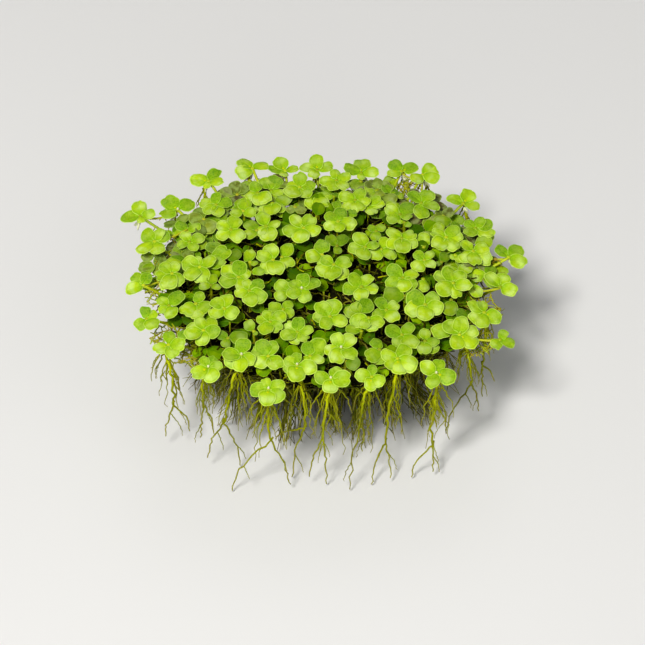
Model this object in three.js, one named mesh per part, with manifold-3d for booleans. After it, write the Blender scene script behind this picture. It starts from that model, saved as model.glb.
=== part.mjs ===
// A floating mat of small duckweed plants, set down on its own roots.
// Each plant is a rosette of round leaves on a crown. Plants inside the mat stand on a stem, and plants
// at its rim hang over the edge on a runner, with a branched root of their own. All of them are carried
// by one tangled mass of roots, which is flat where it rests.
// Millimetres, +Z up, +Y away from the viewer. The origin is the middle of the flat resting face.
import * as THREE from "three";
import { mergeVertices } from "three/addons/utils/BufferGeometryUtils.js";
import Module from "manifold-3d";

const wasm = await Module();
wasm.setup();

// The mat
const MAT_HALF_WIDTH = 38;
const MAT_HALF_DEPTH = 33;
const RIM_CROWN_HEIGHT = 25.5;
const DOME_RISE = 3;
const RIM_LEAN = 8;
const FRONT_LEAN = 12;
const CLEARANCE = 0.5;

// One leaf: an oval blade. LEAF_LENGTH is from the crown to its tip.
const LEAF_LENGTH = 3.5;
const BLADE_LENGTH = 3.25;
const LEAF_WIDTH = 2.95;
const LEAF_RISE = 3;
const NEXT_LEAF_RISE = 10;

// A rosette: how far its crown bulges up and down, and the number of points round its edge
const CROWN_BULGE = 0.4;
const CROWN_RADIUS = 0.6;
const EDGE_POINTS = 32;

// Stems, runners and roots. Each starts under a leaf, BESIDE_CROWN from the middle of the crown.
const STEM_RADIUS = 0.34;
const ROOT_RADIUS = 0.42;
const FORK_RADIUS = 0.34;
const FORK_OVERLAP = 0.6;
const BESIDE_CROWN = 0.8;

// The root mass: its profile as [share of the mat's half width, height]
const MASS_TOP = 25.4;
const SHOULDER_SHARE = 0.76;
const SHOULDER_HEIGHT = 23.2;
const MASS_PROFILE = [
  [0, 0],
  [0.36, 0],
  [0.42, 8],
  [0.6, 17],
  [0.81, 21.5],
  [SHOULDER_SHARE, SHOULDER_HEIGHT],
  [0, MASS_TOP],
];
const MASS_SEGMENTS = 24;

// The bundles of roots that hang from the mass: how many, and the share and height of their bends
const BUNDLES = 24;
const BUNDLE_RADIUS = 2.3;
const BUNDLE_TOP = [0.62, 19];
const BUNDLE_BEND = [0.6, 9];
const BUNDLE_FOOT = 0.7;

// Every plant: where its crown is on the plan, and the heading, in degrees from +X, and the size of each of
// its leaves. A plant at the rim has a root of its own. In front, where the roots show, it is given as the
// place of its fork and of its ends. Elsewhere drop is how far it hangs down.
const PLANTS = {
  back: [
    { at: [-36.7, 19], leaves: [[8, 0.9], [95, 1.1], [174, 1.15], [282, 0.6]] },
    { at: [-29.2, 21.1], leaves: [[34, 1.1], [132, 1.2], [200, 1.1]], drop: 20 },
    { at: [-23.1, 29.9], leaves: [[57, 1], [172, 1.1], [255, 0.6], [337, 0.95]], drop: 23 },
    { at: [-14.3, 33.8], leaves: [[22, 1], [140, 1.1], [211, 1.1]], drop: 25 },
    { at: [-7.6, 33], leaves: [[13, 0.8], [117, 1.1], [170, 1], [259, 0.65]], drop: 24 },
    { at: [-1.1, 33.3], leaves: [[17, 1], [93, 1.1], [162, 1.05], [246, 0.85]], drop: 25 },
    { at: [7.9, 32.5], leaves: [[88, 1.25], [161, 1.1], [266, 0.6], [358, 1.05]], drop: 23 },
    { at: [16.1, 32.9], leaves: [[30, 1.1], [129, 1], [203, 0.9]], drop: 25 },
    { at: [20.4, 31.9], leaves: [[41, 1.05], [229, 1], [336, 1.05]], drop: 22 },
    { at: [28.5, 23.1], leaves: [[62, 1.05], [160, 1], [342, 1]], drop: 20 },
  ],
  right: [
    { at: [30.7, 15], leaves: [[24, 1.1], [59, 0.85], [142, 0.75], [231, 0.95], [332, 1.2]] },
    { at: [37.1, 6.8], leaves: [[46, 1.15], [144, 0.95], [332, 1.1]] },
    { at: [30, 7.5], leaves: [[20, 0.95], [140, 0.9], [227, 1], [272, 1.15], [327, 1.25]] },
    { at: [35.1, -2.4], leaves: [[72, 0.95], [141, 1.1], [338, 1]] },
    {
      at: [31.7, -10.1],
      leaves: [[102, 0.8], [149, 1.05], [224, 1.05], [259, 1.1], [334, 1.05]],
      root: [[31.8, -12, 14], [31.7, -13, 6.4], [34, -11.8, 9]],
    },
    { at: [34.6, -17.2], leaves: [[62, 0.7], [238, 0.8], [339, 0.9]] },
    {
      at: [26.7, -16.6],
      leaves: [[23, 1.1], [83, 1.15], [134, 1.2], [255, 1.1], [326, 1.2]],
      root: [[29.3, -19, 15.3], [24.8, -22, 4.5], [30.7, -20.5, 8.6]],
    },
  ],
  front: [
    {
      at: [22, -26.7],
      leaves: [[77, 0.9], [155, 1.05], [249, 1.05], [342, 1.15]],
      root: [[21, -28.5, 7.4], [17.6, -30.5, 0.8], [21.8, -29.5, 1.5]],
    },
    {
      at: [14.5, -23.6],
      leaves: [[52, 1.05], [170, 0.95], [230, 0.9], [279, 1.05], [333, 1.2]],
      root: [[11.9, -28, 8.3], [9.9, -32, 0.5], [13.5, -31, 1.3]],
    },
    {
      at: [9.5, -28.3],
      leaves: [[89, 0.75], [178, 0.95], [262, 0.9], [325, 0.85]],
      root: [[7.5, -30.5, 18], [5.5, -33.5, 0.7], [8, -31, 8]],
    },
    {
      at: [1.6, -28.8],
      leaves: [[53, 0.8], [183, 0.95], [266, 1], [350, 1.15]],
      root: [[1, -31, 12.4], [-2.6, -32, 2.8], [0.2, -33, 0.7]],
    },
    {
      at: [-4.9, -25.5],
      leaves: [[95, 0.75], [157, 0.8], [203, 0.85], [265, 1.2], [340, 1.15]],
      root: [[-3.6, -28, 12.3], [-5.9, -29.5, 0.7], [-8.9, -28, 9]],
    },
    {
      at: [-10.4, -31.1],
      leaves: [[17, 0.95], [111, 0.65], [185, 1.05], [263, 1.15], [314, 1.1]],
      root: [[-10.7, -33, 12.9], [-17.2, -33.8, 0.4], [-6.3, -33.5, 1.7]],
    },
    {
      at: [-15.7, -22.6],
      leaves: [[83, 1.05], [187, 1.1], [220, 1.1], [265, 1.15], [321, 0.95]],
      root: [[-19, -26, 11.8], [-22.4, -27.5, 3.2], [-16.6, -27, 0.8]],
    },
    {
      at: [-22.1, -25.2],
      leaves: [[62, 0.75], [125, 0.7], [215, 1.1], [287, 1.05], [360, 0.8]],
      root: [[-22.8, -27.6, 18], [-23.8, -28, 9.5], [-21.4, -28.4, 11]],
    },
  ],
  left: [
    {
      at: [-30, -18.8],
      leaves: [[85, 0.9], [212, 0.95], [293, 1], [348, 1.05]],
      root: [[-28.5, -20.5, 11], [-31.3, -21.5, 3.3], [-26.1, -21.5, 4.6]],
    },
    { at: [-23.2, -15.8], leaves: [[47, 1], [110, 0.9], [159, 1], [203, 1.15], [265, 1.05], [343, 1]] },
    { at: [-34.5, -11.4], leaves: [[33, 0.7], [97, 0.75], [230, 0.85], [308, 1]] },
    { at: [-30.2, -8.4], leaves: [[51, 1.15], [144, 0.8], [219, 0.7], [285, 1]] },
    { at: [-35.4, -1.9], leaves: [[69, 0.85], [128, 0.95], [195, 1.05]] },
    { at: [-29.8, 0.7], leaves: [[75, 0.8], [135, 0.9], [190, 0.95], [257, 1.25], [304, 1.05]] },
    { at: [-33.6, 11.1], leaves: [[28, 1], [62, 0.95], [130, 1.1], [220, 1.25], [286, 1.1]] },
    { at: [-26.6, 9.9], leaves: [[22, 0.95], [117, 0.8], [203, 0.75], [302, 0.8]] },
  ],
  middle: [
    { at: [-21.5, 21.7], leaves: [[13, 0.95], [90, 0.85], [160, 1.05], [227, 0.95], [282, 0.95]] },
    { at: [-13.2, 25.2], leaves: [[105, 0.85], [214, 0.8], [279, 1.05], [306, 1.15]] },
    { at: [-4.6, 26.8], leaves: [[9, 0.95], [89, 1.05], [162, 0.8], [230, 1.25], [303, 1]] },
    { at: [2.8, 29.4], leaves: [[26, 0.9], [95, 0.8], [191, 1], [249, 0.95], [314, 0.9]] },
    { at: [19.9, 22.2], leaves: [[57, 1.15], [136, 1], [270, 1.25], [337, 1.15]] },
    { at: [6.6, 22.3], leaves: [[60, 0.95], [160, 1], [229, 1], [278, 1.1], [351, 0.9]] },
    { at: [24.7, 11.2], leaves: [[6, 1], [47, 1], [156, 0.95], [236, 1.25], [305, 1.1]] },
    { at: [3.6, -21.3], leaves: [[45, 1.1], [114, 0.9], [202, 1], [249, 1.15], [323, 1.05]] },
    { at: [-18.3, 13], leaves: [[71, 1], [155, 0.9], [219, 1], [305, 1.2]] },
    { at: [-3.8, 12.7], leaves: [[61, 1.1], [128, 1.1], [194, 1.25], [257, 1.2], [343, 1]] },
    { at: [3.1, 14.8], leaves: [[77, 1.05], [143, 0.9], [216, 0.9], [279, 0.9], [351, 1.1]] },
    { at: [15.8, 10], leaves: [[27, 0.9], [151, 1], [225, 1.1], [272, 1.25], [319, 1.1]] },
    { at: [-9.8, 3], leaves: [[101, 1.1], [161, 1], [232, 1], [281, 1.25]] },
    { at: [-24.3, 1.9], leaves: [[35, 1.05], [118, 0.8], [159, 1.1], [230, 1.15], [281, 1.2]] },
    { at: [2.2, 1.3], leaves: [[17, 1.05], [152, 0.85], [215, 1.15], [264, 1.25], [309, 1.15]] },
    { at: [8.5, 6.8], leaves: [[16, 0.8], [118, 1.05], [197, 1.05], [258, 1.1]] },
    { at: [20.2, 3.6], leaves: [[52, 0.8], [142, 0.75], [232, 1], [315, 0.8]] },
    { at: [15.8, -2], leaves: [[22, 0.95], [141, 1.1], [214, 1.15], [276, 1.05], [311, 1.05]] },
    { at: [25.8, -2.6], leaves: [[51, 1], [112, 1.1], [155, 1.2], [223, 1.25], [283, 1], [338, 1.1]] },
    { at: [-14.4, -5.8], leaves: [[36, 1], [102, 0.75], [198, 0.85], [279, 1.15], [321, 1.2]] },
    { at: [-4.1, -5.6], leaves: [[31, 1.15], [84, 0.95], [145, 0.85], [217, 1], [287, 1]] },
    { at: [7.7, -5], leaves: [[55, 0.95], [131, 1], [192, 1.1], [267, 1.1], [346, 1]] },
    { at: [-19.2, -10.4], leaves: [[80, 0.95], [140, 0.95], [212, 0.95], [321, 0.95]] },
    { at: [1.5, -13.3], leaves: [[76, 1.15], [132, 1.1], [192, 1], [245, 0.95], [334, 1.05]] },
    { at: [9, -13.5], leaves: [[198, 1.1], [243, 0.95], [283, 0.95], [326, 1]] },
    { at: [-10.2, -14.5], leaves: [[33, 1], [110, 0.75], [170, 0.8], [246, 1.1], [314, 0.85]] },
  ],
};

const LEAF_GREEN = 0x9cc431;
const ROOT_OLIVE = 0x6b6420;
const plain = (color, roughness) => new THREE.MeshStandardMaterial({ color, roughness, metalness: 0 });

const radians = THREE.MathUtils.degToRad;

// A steady number from 0 to 1 for each pair of whole numbers, so that every build is the same.
function chance(a, b) {
  const wave = Math.sin(a * 12.9898 + b * 78.233) * 43758.5453;
  return wave - Math.floor(wave);
}

const between = (low, high, share) => low + (high - low) * share;

// How far out a place on the plan is: 0 at the middle of the mat and 1 at its rim.
const rimShare = (x, y) => Math.hypot(x / MAT_HALF_WIDTH, y / MAT_HALF_DEPTH);

const crownHeight = (x, y) => RIM_CROWN_HEIGHT + DOME_RISE * Math.max(0, 1 - rimShare(x, y) ** 2);

function solidOf(geometry) {
  const bare = geometry.clone();
  bare.deleteAttribute("normal");
  bare.deleteAttribute("uv");
  const merged = mergeVertices(bare, 1e-4);
  const vertProperties = merged.getAttribute("position").array;
  const triVerts = new Uint32Array(merged.index.array);
  return new wasm.Manifold(new wasm.Mesh({ numProp: 3, vertProperties, triVerts }));
}

function geometryOf(solid) {
  const mesh = solid.getMesh();
  const geometry = new THREE.BufferGeometry();
  geometry.setAttribute("position", new THREE.BufferAttribute(mesh.vertProperties, 3));
  geometry.setIndex(new THREE.BufferAttribute(mesh.triVerts, 1));
  geometry.computeVertexNormals();
  return geometry;
}

// How far from the crown a leaf of one size reaches, at an angle to its heading: the far side of an oval.
function leafReach(size, angle) {
  const half = BLADE_LENGTH / 2;
  const middle = LEAF_LENGTH - half;
  const along = Math.cos(angle) / half;
  const across = Math.sin(angle) / (LEAF_WIDTH / 2);
  const a = along ** 2 + across ** 2;
  const b = (along * middle) / half;
  const rest = b ** 2 - a * ((middle / half) ** 2 - 1);
  return rest > 0 && b > 0 ? (size * (b + Math.sqrt(rest))) / a : 0;
}

// A round strand that tapers: a cylinder whose length is bent along a curve.
function strandGeometry(points, thick, thin, sides, steps) {
  const curve = new THREE.CatmullRomCurve3(points);
  const frames = curve.computeFrenetFrames(steps);
  const shape = new THREE.CylinderGeometry(thick, thin, 1, sides, steps);
  const spots = shape.getAttribute("position");
  for (let i = 0; i < spots.count; i++) {
    const step = Math.round((0.5 - spots.getY(i)) * steps);
    const spot = curve.getPointAt(step / steps);
    spot.addScaledVector(frames.normals[step], spots.getX(i));
    spot.addScaledVector(frames.binormals[step], spots.getZ(i));
    spots.setXYZ(i, spot.x, spot.y, spot.z);
  }
  return shape;
}

// The mass of roots: a body turned from its profile and squashed to the shape of the mat.
function massBody() {
  const profile = MASS_PROFILE.map(([share, height]) => new THREE.Vector2(share * MAT_HALF_WIDTH, height));
  const shape = new THREE.LatheGeometry(profile, MASS_SEGMENTS);
  shape.rotateX(Math.PI / 2);
  shape.scale(1, MAT_HALF_DEPTH / MAT_HALF_WIDTH, 1);
  return solidOf(shape);
}

// One of the bundles of roots round the mass: down past a bend to its foot, every second one to the ground.
function bundle(k) {
  const turn = radians((360 * (k + between(-0.3, 0.3, chance(k, 1)))) / BUNDLES);
  const across = MAT_HALF_WIDTH * Math.cos(turn);
  const deep = MAT_HALF_DEPTH * Math.sin(turn);
  const place = (share, height) => new THREE.Vector3(share * across, share * deep, height);
  const low = k % 2 ? -1 : between(0.5, 3.5, chance(k, 2));
  const foot = place(BUNDLE_FOOT * between(0.92, 1.06, chance(k, 3)), low);
  const shape = strandGeometry([place(...BUNDLE_TOP), place(...BUNDLE_BEND), foot], BUNDLE_RADIUS, 0.4, 4, 2);
  return solidOf(shape);
}

// The mass with its bundles fused on, cut flat at the surface that it rests on.
function rootMass() {
  let solid = massBody();
  for (let k = 0; k < BUNDLES; k++) {
    solid = solid.add(bundle(k));
  }
  const ground = new THREE.BoxGeometry(4 * MAT_HALF_WIDTH, 4 * MAT_HALF_DEPTH, 10);
  ground.translate(0, 0, -5);
  return solid.subtract(solidOf(ground));
}

// The leaves of a plant, with every second one raised more.
function leavesOf(plant, seed) {
  return plant.leaves.map(([heading, size], k) => ({
    turn: radians(heading),
    size,
    rise: radians((k % 2 ? NEXT_LEAF_RISE : LEAF_RISE) + between(-4, 4, chance(seed, k))),
  }));
}

// A rosette leans outwards with the dome of the mat, and all of them face a little to the front.
function leanOf(plant) {
  const [x, y] = plant.at;
  const axis = new THREE.Vector3(-y, x, 0).normalize();
  const outwards = new THREE.Matrix4().makeRotationAxis(axis, radians(RIM_LEAN * rimShare(x, y)));
  return new THREE.Matrix4().makeRotationX(radians(FRONT_LEAN)).multiply(outwards);
}

// The leaves and crown of a plant, with the crown at the origin: a low sphere, drawn out in each
// direction to the leaf that reaches farthest.
function rosette(leaves) {
  const shape = new THREE.SphereGeometry(1, EDGE_POINTS, 2);
  shape.rotateX(Math.PI / 2);
  const spots = shape.getAttribute("position");
  for (let i = 0; i < spots.count; i++) {
    const height = spots.getZ(i);
    if (Math.abs(height) > 0.5) {
      spots.setXYZ(i, 0, 0, CROWN_BULGE * height);
      continue;
    }
    const turn = Math.atan2(spots.getY(i), spots.getX(i));
    let reach = CROWN_RADIUS;
    let rise = 0;
    for (const leaf of leaves) {
      const far = leafReach(leaf.size, turn - leaf.turn);
      if (far > reach) {
        reach = far;
        rise = leaf.rise;
      }
    }
    spots.setXYZ(i, reach * Math.cos(turn), reach * Math.sin(turn), reach * Math.tan(rise));
  }
  return shape;
}

// The place inside the base of the leaf that points most nearly in a direction on the plan.
function leafBase(leaves, x, y) {
  const towards = ({ turn }) => Math.cos(turn) * x + Math.sin(turn) * y;
  const { turn, rise } = leaves.reduce((best, next) => (towards(next) > towards(best) ? next : best));
  const base = new THREE.Vector3(Math.cos(turn), Math.sin(turn), Math.tan(rise));
  return base.multiplyScalar(BESIDE_CROWN);
}

// The fork and the two ends of a root that hangs straight down, spread along the rim.
function plainRoot(start, drop, seed) {
  const along = new THREE.Vector3(-start.y, start.x, 0).normalize();
  const hung = (share, aside) => start.clone().addScaledVector(along, aside).setZ(start.z - share * drop);
  return [
    hung(0.5, between(-0.8, 0.8, chance(seed, 21))),
    hung(1, between(-2.4, -1.2, chance(seed, 22))),
    hung(between(0.8, 0.95, chance(seed, 23)), between(1, 2.4, chance(seed, 24))),
  ];
}

// The root that hangs from a rim plant: one strand down to a fork, and one from there to each end.
function hangingRoot(start, plant, seed) {
  const root = plant.root?.map((place) => new THREE.Vector3(...place));
  const [fork, ...ends] = root ?? plainRoot(start, plant.drop, seed);
  const bend = start.clone().lerp(fork, 0.5);
  bend.x += between(-0.5, 0.5, chance(seed, 25));
  bend.y += between(-0.5, 0.5, chance(seed, 26));
  let solid = solidOf(strandGeometry([start, bend, fork], ROOT_RADIUS, FORK_RADIUS, 3, 2));
  for (const end of ends) {
    const above = fork.clone().lerp(bend, FORK_OVERLAP / fork.distanceTo(bend));
    const middle = above.clone().lerp(end, 0.5);
    solid = solid.add(solidOf(strandGeometry([above, middle, end], FORK_RADIUS, 0, 3, 1)));
  }
  return solid;
}

// The stem or runner from a rosette to the nearest place on the top of the root mass.
function carrier(start) {
  const share = rimShare(start.x, start.y);
  const inwards = Math.min(1, SHOULDER_SHARE / share);
  const top = between(MASS_TOP, SHOULDER_HEIGHT, (share * inwards) / SHOULDER_SHARE);
  const foot = new THREE.Vector3(start.x * inwards, start.y * inwards, top + CLEARANCE);
  const middle = start.clone().lerp(foot, 0.5);
  return solidOf(strandGeometry([start, middle, foot], STEM_RADIUS, STEM_RADIUS, 3, 1));
}

// A whole plant with its crown at one place.
function plantSolid(plant, seed, crown) {
  const leaves = leavesOf(plant, seed);
  const lean = leanOf(plant);
  const base = (x, y) => leafBase(leaves, x, y).applyMatrix4(lean).add(crown);
  const shape = rosette(leaves).applyMatrix4(lean).translate(...crown);
  const solid = solidOf(shape).add(carrier(base(-crown.x, -crown.y)));
  const hasRoot = plant.root || plant.drop;
  return hasRoot ? solid.add(hangingRoot(base(crown.x, crown.y), plant, seed)) : solid;
}

// A plant in its place, which must be clear of all those made before it.
const made = [];

function plantMesh(name, plant, seed) {
  const [x, y] = plant.at;
  const crown = new THREE.Vector3(x, y, crownHeight(x, y));
  const solid = plantSolid(plant, seed, crown);
  if (made.some((other) => solid.intersect(other).volume() > 1e-4)) {
    throw new Error(`no room for ${name}`);
  }
  made.push(solid);
  const shape = geometryOf(solid).translate(-crown.x, -crown.y, -crown.z);
  const mesh = new THREE.Mesh(shape, plain(LEAF_GREEN, 0.45));
  mesh.name = name;
  mesh.position.copy(crown);
  return mesh;
}

const mat = new THREE.Group();

const mass = new THREE.Mesh(geometryOf(rootMass()), plain(ROOT_OLIVE, 0.7));
mass.name = "root_mass";
mat.add(mass);

let seed = 0;
for (const [side, plants] of Object.entries(PLANTS)) {
  plants.forEach((plant, k) => {
    seed += 1;
    mat.add(plantMesh(`${side}_plant_${k + 1}`, plant, seed));
  });
}

export default mat;
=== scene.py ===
"""The looks of a floating mat of small duckweed plants that stands on its own roots.

Each plant of the frame is replaced by one of fleshy leaves, with its stem or runner and its root. The mass
of roots is replaced by a tangle of single strands. Sizes are in millimetres here and are turned into metres
when a mesh is made. +Z is up and +Y points away from the viewer.
"""

import math

import bpy
import numpy as np
from mathutils import Matrix, Vector


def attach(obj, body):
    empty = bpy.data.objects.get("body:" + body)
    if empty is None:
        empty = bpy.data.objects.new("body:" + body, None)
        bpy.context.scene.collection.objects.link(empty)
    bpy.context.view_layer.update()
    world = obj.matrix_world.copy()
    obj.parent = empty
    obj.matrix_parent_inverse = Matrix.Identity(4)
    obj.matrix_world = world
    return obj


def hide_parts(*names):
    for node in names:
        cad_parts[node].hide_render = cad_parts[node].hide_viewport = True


MM = 0.001

# Turns, in radians: the range of all headings, and the step that spreads places evenly round the middle.
# The golden share does the same for places along a line.
ANY_TURN = (0, 6.3)
GOLDEN_TURN = 2.39996
GOLDEN_SHARE = 0.618034

# The mat, as in the part, and how far its rosettes lean, in degrees
MAT_HALF_WIDTH = 38
MAT_HALF_DEPTH = 33
RIM_CROWN_HEIGHT = 25.5
DOME_RISE = 3
RIM_LEAN = 8
FRONT_LEAN = 12

# One leaf. Its rise is in degrees.
LEAF_LENGTH = 3.5
BLADE_LENGTH = 3.25
LEAF_WIDTH = 2.95
LEAF_RISE = 3
NEXT_LEAF_RISE = 10
LEAF_THICKNESS = 0.26
FULLNESS = (1.9, 2.6)
OUTLINE_POINTS = 40
TOP_RINGS = (0.3, 0.55, 0.74, 0.85, 0.93, 0.98)
UNDER_RINGS = (0.93, 0.6)

# Stems, runners and roots
CROWN_RADII = (0.42, 0.42, 0.22)
BUD_RADII = (0.26, 0.26, 0.3)
STEM_RADIUS = 0.32
STEM_FOOT_DEPTH = 0.4
ROOT_RADIUS = 0.31
FORK_RADIUS = 0.21
TIP_RADIUS = 0.11
FINE_TIP = 0.06
SIDE_ROOT_RADIUS = 0.21
SIDE_ROOTS = ((0.2, -1.6, 5), (0.35, 1.5, 5))
GROUND_CLEARANCE = 0.15
FINE_ROOTS = 3
TWIG_RADIUS = 0.13
LIMB_TWIG_RADIUS = 0.12
FRINGE_ROOTS = 5
FRINGE_RADIUS = 0.17
FRINGE_TWIG_RADIUS = 0.11
YOUNG_TIPS = 3
YOUNG_TIP_RADII = (0.14, 0.2, 0.26, 0.28, 0.25, 0.15)
STALK_ROOTS = 4
STALK_ROOT_RADIUS = 0.13
STALK_ROOT_REACH = (1, 2.6)
RIM_OF_TIPS = 0.93
BESIDE_CROWN = 0.8

# The root mass: its top, its shoulder, its wall as (share of the mat's half width, height), and the dark
# core, a body of painted shade deep in the roots
MASS_TOP = 25.4
SHOULDER_SHARE = 0.76
SHOULDER_HEIGHT = 23.2
MASS_WALL = ((0.36, 0), (0.42, 8), (0.6, 17), (0.81, 21.5))
CORE_INSIDE = 0.025
CORE_FLOOR = 0.2
CORE_DEPTH = 1.5
CORE_TUCK = 0.12
CORE_TUCK_HEIGHT = 2.5
CORE_RINGS = 22
CORE_POINTS = 72
CORE_TOP_SHARES = (0.7, 0.5, 0.2)

# The bundles of roots that hang from the mass, as in the part, and the roots in each
BUNDLES = 24
BUNDLE_RADIUS = 2.3
BUNDLE_START = (0.72, 22.2)
BUNDLE_TOP = (0.62, 19)
BUNDLE_BEND = (0.6, 9)
BUNDLE_FOOT = 0.7
BUNDLE_ROOTS = 10
BUNDLE_THICK = (0.19, 0.3)
# How dark each root of a bundle is painted, as painted shade
BUNDLE_PAINTED_SHADES = (0, 0.3, 0.65)

# The roots scattered between the bundles, and those that lie on the body of the mass, with the painted
# shade that darkens them, most of all on the body
SCATTERED_ROOTS = 120
SCATTERED_SHARE = (0.58, 0.8)
SCATTERED_THICK = (0.16, 0.25)
SCATTERED_PAINTED_SHADE = (0.3, 0.95)
BODY_ROOTS = 340
BODY_HEIGHTS = (21, 15, 8)
BODY_THICK = (0.14, 0.26)
BODY_PAINTED_SHADE = (0.75, 1)

# The seeds of the random numbers in the pieces that hold many plants, leaves or roots
MORE_PLANTS_SEED = 400
LOWER_LEAVES_SEED = 500
BACK_LEAVES_SEED = 520
MATTED_STRANDS_SEED = 550
ROOT_TANGLE_SEED = 600

# The camera looks down on the mat from in front, and its aim is a point of the mat.
CAMERA_AIM = (0, -6, 19.6)
CAMERA_ELEVATION = 43
CAMERA_DISTANCE = 800
CAMERA_LENS = 225.5

# The stage, in metres: the name, place, size, power and colour of each light, and the floor
WHITE = (1, 1, 1)
LIGHTS = (
    ("key", (-0.35, -0.6, 1.0), 0.32, 14.2, (1, 0.98, 0.95)),
    ("fill", (0.8, -0.5, 0.7), 0.8, 1.2, WHITE),
    ("front", (0.1, -1.1, 0.35), 0.8, 3, WHITE),
    ("back", (0.1, 0.9, 0.8), 0.7, 1.5, WHITE),
)
WORLD_STRENGTH = 0.1
FLOOR_REACH = 6


def plant_at(crown, *leaves, **more):
    """The place of a crown on the plan, its leaves, and what else the plant has."""
    return dict(at=crown, leaves=leaves, **more)


# Every plant: where its crown is on the plan, and the heading, in degrees from +X, and the size of each of
# its leaves. root is the place of its fork and of its ends, and drop is how far a root hangs down where it
# isn't seen from in front. side lists the side roots, as SIDE_ROOTS does for the other plants: the share of
# the way down where each leaves the main root, how far aside it goes and how far down.
BACK_PLANTS = (
    plant_at((-36.7, 19), (8, 0.9), (95, 1.1), (174, 1.15), (282, 0.6)),
    plant_at((-29.2, 21.1), (34, 1.1), (132, 1.2), (200, 1.1), drop=20, bud=True),
    plant_at((-23.1, 29.9), (57, 1), (172, 1.1), (255, 0.6), (337, 0.95), drop=23),
    plant_at((-14.3, 33.8), (22, 1), (140, 1.1), (211, 1.1), drop=25),
    plant_at((-7.6, 33), (13, 0.8), (117, 1.1), (170, 1), (259, 0.65), drop=24),
    plant_at((-1.1, 33.3), (17, 1), (93, 1.1), (162, 1.05), (246, 0.85), drop=25),
    plant_at((7.9, 32.5), (88, 1.25), (161, 1.1), (266, 0.6), (358, 1.05), drop=23),
    plant_at((16.1, 32.9), (30, 1.1), (129, 1), (203, 0.9), drop=25),
    plant_at((20.4, 31.9), (41, 1.05), (229, 1), (336, 1.05), drop=22),
    plant_at((28.5, 23.1), (62, 1.05), (160, 1), (342, 1), drop=20),
)

RIGHT_PLANTS = (
    plant_at((30.7, 15), (24, 1.1), (59, 0.85), (142, 0.75), (231, 0.95), (332, 1.2)),
    plant_at((37.1, 6.8), (46, 1.15), (144, 0.95), (332, 1.1)),
    plant_at((30, 7.5), (20, 0.95), (140, 0.9), (227, 1), (272, 1.15), (327, 1.25)),
    plant_at((35.1, -2.4), (72, 0.95), (141, 1.1), (338, 1)),
    plant_at(
        (31.7, -10.1), (102, 0.8), (149, 1.05), (224, 1.05), (259, 1.1), (334, 1.05),
        root=((31.8, -12, 14), (31.7, -13, 6.4), (34, -11.8, 9)),
        side=((0.1, -1.6, 9), (0.3, 1.2, 6)),
    ),
    plant_at((34.6, -17.2), (62, 0.7), (238, 0.8), (339, 0.9)),
    plant_at(
        (26.7, -16.6), (23, 1.1), (83, 1.15), (134, 1.2), (255, 1.1), (326, 1.2),
        root=((29.3, -19, 15.3), (24.8, -22, 4.5), (30.7, -20.5, 8.6)),
        side=((0.1, 2.4, 9), (0.2, -1.4, 11), (0.5, 2.6, 7)),
    ),
)

FRONT_PLANTS = (
    plant_at(
        (22, -26.7), (77, 0.9), (155, 1.05), (249, 1.05), (342, 1.15), bud=True,
        root=((21, -28.5, 7.4), (17.6, -30.5, 0.8), (21.8, -29.5, 1.5)),
        side=((0.05, -3.6, 13), (0.1, 3.4, 10), (0.3, -1.6, 12), (0.4, 2.4, 8)),
    ),
    plant_at(
        (14.5, -23.6), (52, 1.05), (170, 0.95), (230, 0.9), (279, 1.05), (333, 1.2),
        root=((11.9, -28, 8.3), (9.9, -32, 0.5), (13.5, -31, 1.3)),
        side=((0.05, 2.8, 12), (0.2, -2.6, 11), (0.4, 1.8, 10)),
    ),
    plant_at(
        (9.5, -28.3), (89, 0.75), (178, 0.95), (262, 0.9), (325, 0.85),
        root=((7.5, -30.5, 18), (5.5, -33.5, 0.7), (8, -31, 8)),
        side=((0.1, 2.6, 11), (0.3, -1.8, 12), (0.05, -3.4, 9)),
    ),
    plant_at(
        (1.6, -28.8), (53, 0.8), (183, 0.95), (266, 1), (350, 1.15), bud=True,
        root=((1, -31, 12.4), (-2.6, -32, 2.8), (0.2, -33, 0.7)),
        side=((0.02, -4.2, 8), (0.05, 3.8, 9), (0.1, -2.4, 13), (0.15, 2.6, 12), (0.6, 2.8, 7)),
    ),
    plant_at(
        (-4.9, -25.5), (95, 0.75), (157, 0.8), (203, 0.85), (265, 1.2), (340, 1.15), bud=True,
        root=((-3.6, -28, 12.3), (-5.9, -29.5, 0.7), (-8.9, -28, 9)),
        side=((0.02, -3.8, 8), (0.1, 2.2, 9), (0.3, -2.2, 10), (0.5, 1.2, 11)),
    ),
    plant_at(
        (-10.4, -31.1), (17, 0.95), (111, 0.65), (185, 1.05), (263, 1.15), (314, 1.1), bud=True,
        root=((-10.7, -33, 12.9), (-17.2, -33.8, 0.4), (-6.3, -33.5, 1.7)),
        side=((0.03, -4.6, 9), (0.05, 4.8, 6), (0.1, -2.6, 8), (0.15, 3, 11), (0.4, -1.8, 12)),
    ),
    plant_at(
        (-15.7, -22.6), (83, 1.05), (187, 1.1), (220, 1.1), (265, 1.15), (321, 0.95), bud=True,
        root=((-19, -26, 11.8), (-22.4, -27.5, 3.2), (-16.6, -27, 0.8)),
        side=((0.02, 2.6, 9), (0.1, -3.2, 10), (0.2, 1.6, 14), (0.5, -2.8, 9)),
    ),
    plant_at(
        (-22.1, -25.2), (62, 0.75), (125, 0.7), (215, 1.1), (287, 1.05), (360, 0.8), bud=True,
        root=((-22.8, -27.6, 18), (-23.8, -28, 9.5), (-21.4, -28.4, 11)),
        side=((0.1, 2.2, 8), (0.4, -1.6, 9)),
    ),
)

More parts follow.
